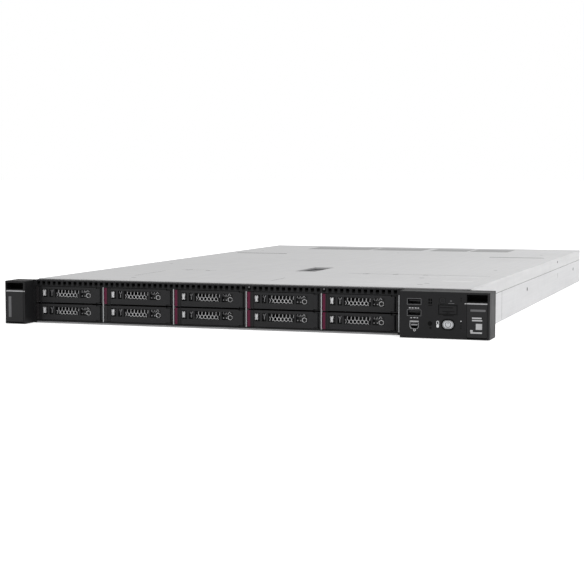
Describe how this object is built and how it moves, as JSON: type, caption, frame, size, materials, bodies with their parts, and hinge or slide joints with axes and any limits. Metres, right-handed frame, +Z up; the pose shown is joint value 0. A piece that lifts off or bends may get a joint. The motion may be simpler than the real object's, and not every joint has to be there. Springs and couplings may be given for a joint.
{
  "type": "1u rack server",
  "caption": "Low rack-mounted server with front drive trays that slide out, ear latches, a sliding top cover and plug-in rear power supplies.",
  "frame": {"origin": "middle of the underside, halfway along the overall depth and width", "axes": "+X to the right seen from the front, +Y from the front to the rear, +Z up"},
  "size_m": [0.482, 0.796, 0.043],
  "materials": {
    "galvanised_sheet": "satin galvanised sheet",
    "black_plastic": "fine-textured black moulding",
    "handle_plastic": "matt black moulding",
    "tray_steel": "bright pressed sheet",
    "maroon_plastic": "satin maroon moulding",
    "bright_plastic": "satin pale moulding",
    "connector_metal": "plated shell",
    "board": "solder-masked board",
    "fin_aluminium": "plain finned aluminium",
    "supply_steel": "satin sheet"
  },
  "bodies": {
    "chassis": {"chassis_tray": "galvanised_sheet", "front_cover": "galvanised_sheet", "front_grille": "black_plastic", "rear_panel": "galvanised_sheet", "left_ear": "black_plastic", "right_ear": "black_plastic", "rack_screws": "connector_metal", "io_ports": "connector_metal", "drive_cage": "galvanised_sheet", "backplane": "board", "fan_frames": "black_plastic", "motherboard": "board", "heat_sinks": "fin_aluminium", "memory_modules": "board"},
    "top_cover": {"top_cover": "galvanised_sheet"},
    "cover_latch": {"cover_latch": "handle_plastic"},
    "rack_latch_left": {"rack_latch_left": "black_plastic"},
    "rack_latch_right": {"rack_latch_right": "black_plastic"},
    "drive_tray_1": {"drive_tray_1": "tray_steel"},
    "tray_handle_1": {"tray_handle_1": "handle_plastic"},
    "tray_release_1": {"tray_release_1": "maroon_plastic"},
    "drive_tray_2": {"drive_tray_2": "tray_steel"},
    "tray_handle_2": {"tray_handle_2": "handle_plastic"},
    "tray_release_2": {"tray_release_2": "maroon_plastic"},
    "drive_tray_3": {"drive_tray_3": "tray_steel"},
    "tray_handle_3": {"tray_handle_3": "handle_plastic"},
    "tray_release_3": {"tray_release_3": "maroon_plastic"},
    "drive_tray_4": {"drive_tray_4": "tray_steel"},
    "tray_handle_4": {"tray_handle_4": "handle_plastic"},
    "tray_release_4": {"tray_release_4": "maroon_plastic"},
    "drive_tray_5": {"drive_tray_5": "tray_steel"},
    "tray_handle_5": {"tray_handle_5": "handle_plastic"},
    "tray_release_5": {"tray_release_5": "maroon_plastic"},
    "drive_tray_6": {"drive_tray_6": "tray_steel"},
    "tray_handle_6": {"tray_handle_6": "handle_plastic"},
    "tray_release_6": {"tray_release_6": "maroon_plastic"},
    "drive_tray_7": {"drive_tray_7": "tray_steel"},
    "tray_handle_7": {"tray_handle_7": "handle_plastic"},
    "tray_release_7": {"tray_release_7": "maroon_plastic"},
    "drive_tray_8": {"drive_tray_8": "tray_steel"},
    "tray_handle_8": {"tray_handle_8": "handle_plastic"},
    "tray_release_8": {"tray_release_8": "maroon_plastic"},
    "drive_tray_9": {"drive_tray_9": "tray_steel"},
    "tray_handle_9": {"tray_handle_9": "handle_plastic"},
    "tray_release_9": {"tray_release_9": "maroon_plastic"},
    "drive_tray_10": {"drive_tray_10": "tray_steel"},
    "tray_handle_10": {"tray_handle_10": "handle_plastic"},
    "tray_release_10": {"tray_release_10": "maroon_plastic"},
    "power_button": {"power_button": "bright_plastic"},
    "id_button": {"id_button": "black_plastic"},
    "info_tab": {"info_tab": "black_plastic"},
    "power_supply_1": {"power_supply_1": "supply_steel"},
    "power_supply_2": {"power_supply_2": "supply_steel"},
    "supply_release_1": {"supply_release_1": "maroon_plastic"},
    "supply_release_2": {"supply_release_2": "maroon_plastic"},
    "fan_rotor_1": {"fan_rotor_1": "black_plastic"},
    "fan_rotor_2": {"fan_rotor_2": "black_plastic"},
    "fan_rotor_3": {"fan_rotor_3": "black_plastic"},
    "fan_rotor_4": {"fan_rotor_4": "black_plastic"},
    "fan_rotor_5": {"fan_rotor_5": "black_plastic"}
  },
  "joints": [
    {"name": "top_cover_slide", "type": "slide", "parent": "chassis", "child": "top_cover", "axis": [0, 1, 0], "range_m": [0, 0.012]},
    {"name": "cover_latch_lift", "type": "hinge", "parent": "top_cover", "child": "cover_latch", "pos_m": [0, -0.1125, 0.0403], "axis": [-1, 0, 0], "range_deg": [0, 80]},
    {"name": "rack_latch_left_open", "type": "hinge", "parent": "chassis", "child": "rack_latch_left", "pos_m": [-0.2298, -0.396, 0.003], "axis": [1, 0, 0], "range_deg": [0, 60]},
    {"name": "rack_latch_right_open", "type": "hinge", "parent": "chassis", "child": "rack_latch_right", "pos_m": [0.2298, -0.396, 0.003], "axis": [1, 0, 0], "range_deg": [0, 60]},
    {"name": "info_tab_slide", "type": "slide", "parent": "chassis", "child": "info_tab", "axis": [0, -1, 0], "range_m": [0, 0.06]},
    {"name": "power_supply_1_slide", "type": "slide", "parent": "chassis", "child": "power_supply_1", "axis": [0, 1, 0], "range_m": [0, 0.16]},
    {"name": "power_supply_2_slide", "type": "slide", "parent": "chassis", "child": "power_supply_2", "axis": [0, 1, 0], "range_m": [0, 0.16]},
    {"name": "supply_release_1_press", "type": "slide", "parent": "power_supply_1", "child": "supply_release_1", "axis": [-1, 0, 0], "range_m": [0, 0.0025], "stiffness_N_per_m": 300},
    {"name": "supply_release_2_press", "type": "slide", "parent": "power_supply_2", "child": "supply_release_2", "axis": [-1, 0, 0], "range_m": [0, 0.0025], "stiffness_N_per_m": 300},
    {"name": "drive_tray_1_slide", "type": "slide", "parent": "chassis", "child": "drive_tray_1", "axis": [0, -1, 0], "range_m": [0, 0.13]},
    {"name": "tray_handle_1_swing", "type": "hinge", "parent": "drive_tray_1", "child": "tray_handle_1", "pos_m": [-0.1479, -0.3784, 0.0282], "axis": [0, 0, 1], "range_deg": [0, 50]},
    {"name": "drive_tray_2_slide", "type": "slide", "parent": "chassis", "child": "drive_tray_2", "axis": [0, -1, 0], "range_m": [0, 0.13]},
    {"name": "tray_handle_2_swing", "type": "hinge", "parent": "drive_tray_2", "child": "tray_handle_2", "pos_m": [-0.0737, -0.3784, 0.0282], "axis": [0, 0, 1], "range_deg": [0, 50]},
    {"name": "drive_tray_3_slide", "type": "slide", "parent": "chassis", "child": "drive_tray_3", "axis": [0, -1, 0], "range_m": [0, 0.13]},
    {"name": "tray_handle_3_swing", "type": "hinge", "parent": "drive_tray_3", "child": "tray_handle_3", "pos_m": [0.0005, -0.3784, 0.0282], "axis": [0, 0, 1], "range_deg": [0, 50]},
    {"name": "drive_tray_4_slide", "type": "slide", "parent": "chassis", "child": "drive_tray_4", "axis": [0, -1, 0], "range_m": [0, 0.13]},
    {"name": "tray_handle_4_swing", "type": "hinge", "parent": "drive_tray_4", "child": "tray_handle_4", "pos_m": [0.0747, -0.3784, 0.0282], "axis": [0, 0, 1], "range_deg": [0, 50]},
    {"name": "drive_tray_5_slide", "type": "slide", "parent": "chassis", "child": "drive_tray_5", "axis": [0, -1, 0], "range_m": [0, 0.13]},
    {"name": "tray_handle_5_swing", "type": "hinge", "parent": "drive_tray_5", "child": "tray_handle_5", "pos_m": [0.1489, -0.3784, 0.0282], "axis": [0, 0, 1], "range_deg": [0, 50]},
    {"name": "drive_tray_6_slide", "type": "slide", "parent": "chassis", "child": "drive_tray_6", "axis": [0, -1, 0], "range_m": [0, 0.13]},
    {"name": "tray_handle_6_swing", "type": "hinge", "parent": "drive_tray_6", "child": "tray_handle_6", "pos_m": [-0.1479, -0.3784, 0.011], "axis": [0, 0, 1], "range_deg": [0, 50]},
    {"name": "drive_tray_7_slide", "type": "slide", "parent": "chassis", "child": "drive_tray_7", "axis": [0, -1, 0], "range_m": [0, 0.13]},
    {"name": "tray_handle_7_swing", "type": "hinge", "parent": "drive_tray_7", "child": "tray_handle_7", "pos_m": [-0.0737, -0.3784, 0.011], "axis": [0, 0, 1], "range_deg": [0, 50]},
    {"name": "drive_tray_8_slide", "type": "slide", "parent": "chassis", "child": "drive_tray_8", "axis": [0, -1, 0], "range_m": [0, 0.13]},
    {"name": "tray_handle_8_swing", "type": "hinge", "parent": "drive_tray_8", "child": "tray_handle_8", "pos_m": [0.0005, -0.3784, 0.011], "axis": [0, 0, 1], "range_deg": [0, 50]},
    {"name": "drive_tray_9_slide", "type": "slide", "parent": "chassis", "child": "drive_tray_9", "axis": [0, -1, 0], "range_m": [0, 0.13]},
    {"name": "tray_handle_9_swing", "type": "hinge", "parent": "drive_tray_9", "child": "tray_handle_9", "pos_m": [0.0747, -0.3784, 0.011], "axis": [0, 0, 1], "range_deg": [0, 50]},
    {"name": "drive_tray_10_slide", "type": "slide", "parent": "chassis", "child": "drive_tray_10", "axis": [0, -1, 0], "range_m": [0, 0.13]},
    {"name": "tray_handle_10_swing", "type": "hinge", "parent": "drive_tray_10", "child": "tray_handle_10", "pos_m": [0.1489, -0.3784, 0.011], "axis": [0, 0, 1], "range_deg": [0, 50]},
    {"name": "power_button_press", "type": "slide", "parent": "chassis", "child": "power_button", "axis": [0, 1, 0], "range_m": [0, 0.0015], "stiffness_N_per_m": 400},
    {"name": "id_button_press", "type": "slide", "parent": "chassis", "child": "id_button", "axis": [0, 1, 0], "range_m": [0, 0.0012], "stiffness_N_per_m": 300},
    {"name": "tray_release_1_press", "type": "slide", "parent": "drive_tray_1", "child": "tray_release_1", "axis": [0, 1, 0], "range_m": [0, 0.001], "stiffness_N_per_m": 300},
    {"name": "tray_release_2_press", "type": "slide", "parent": "drive_tray_2", "child": "tray_release_2", "axis": [0, 1, 0], "range_m": [0, 0.001], "stiffness_N_per_m": 300},
    {"name": "tray_release_3_press", "type": "slide", "parent": "drive_tray_3", "child": "tray_release_3", "axis": [0, 1, 0], "range_m": [0, 0.001], "stiffness_N_per_m": 300},
    {"name": "tray_release_4_press", "type": "slide", "parent": "drive_tray_4", "child": "tray_release_4", "axis": [0, 1, 0], "range_m": [0, 0.001], "stiffness_N_per_m": 300},
    {"name": "tray_release_5_press", "type": "slide", "parent": "drive_tray_5", "child": "tray_release_5", "axis": [0, 1, 0], "range_m": [0, 0.001], "stiffness_N_per_m": 300},
    {"name": "tray_release_6_press", "type": "slide", "parent": "drive_tray_6", "child": "tray_release_6", "axis": [0, 1, 0], "range_m": [0, 0.001], "stiffness_N_per_m": 300},
    {"name": "tray_release_7_press", "type": "slide", "parent": "drive_tray_7", "child": "tray_release_7", "axis": [0, 1, 0], "range_m": [0, 0.001], "stiffness_N_per_m": 300},
    {"name": "tray_release_8_press", "type": "slide", "parent": "drive_tray_8", "child": "tray_release_8", "axis": [0, 1, 0], "range_m": [0, 0.001], "stiffness_N_per_m": 300},
    {"name": "tray_release_9_press", "type": "slide", "parent": "drive_tray_9", "child": "tray_release_9", "axis": [0, 1, 0], "range_m": [0, 0.001], "stiffness_N_per_m": 300},
    {"name": "tray_release_10_press", "type": "slide", "parent": "drive_tray_10", "child": "tray_release_10", "axis": [0, 1, 0], "range_m": [0, 0.001], "stiffness_N_per_m": 300},
    {"name": "fan_rotor_1_spin", "type": "hinge", "parent": "chassis", "child": "fan_rotor_1", "pos_m": [-0.1725, -0.168, 0.0212], "axis": [0, 1, 0], "continuous": true},
    {"name": "fan_rotor_2_spin", "type": "hinge", "parent": "chassis", "child": "fan_rotor_2", "pos_m": [-0.1035, -0.168, 0.0212], "axis": [0, 1, 0], "continuous": true},
    {"name": "fan_rotor_3_spin", "type": "hinge", "parent": "chassis", "child": "fan_rotor_3", "pos_m": [-0.0345, -0.168, 0.0212], "axis": [0, 1, 0], "continuous": true},
    {"name": "fan_rotor_4_spin", "type": "hinge", "parent": "chassis", "child": "fan_rotor_4", "pos_m": [0.0345, -0.168, 0.0212], "axis": [0, 1, 0], "continuous": true},
    {"name": "fan_rotor_5_spin", "type": "hinge", "parent": "chassis", "child": "fan_rotor_5", "pos_m": [0.1035, -0.168, 0.0212], "axis": [0, 1, 0], "continuous": true}
  ],
  "couplings": [
    {"joint": "cover_latch_lift", "follows": "top_cover_slide", "rad_per_m": 116}
  ]
}
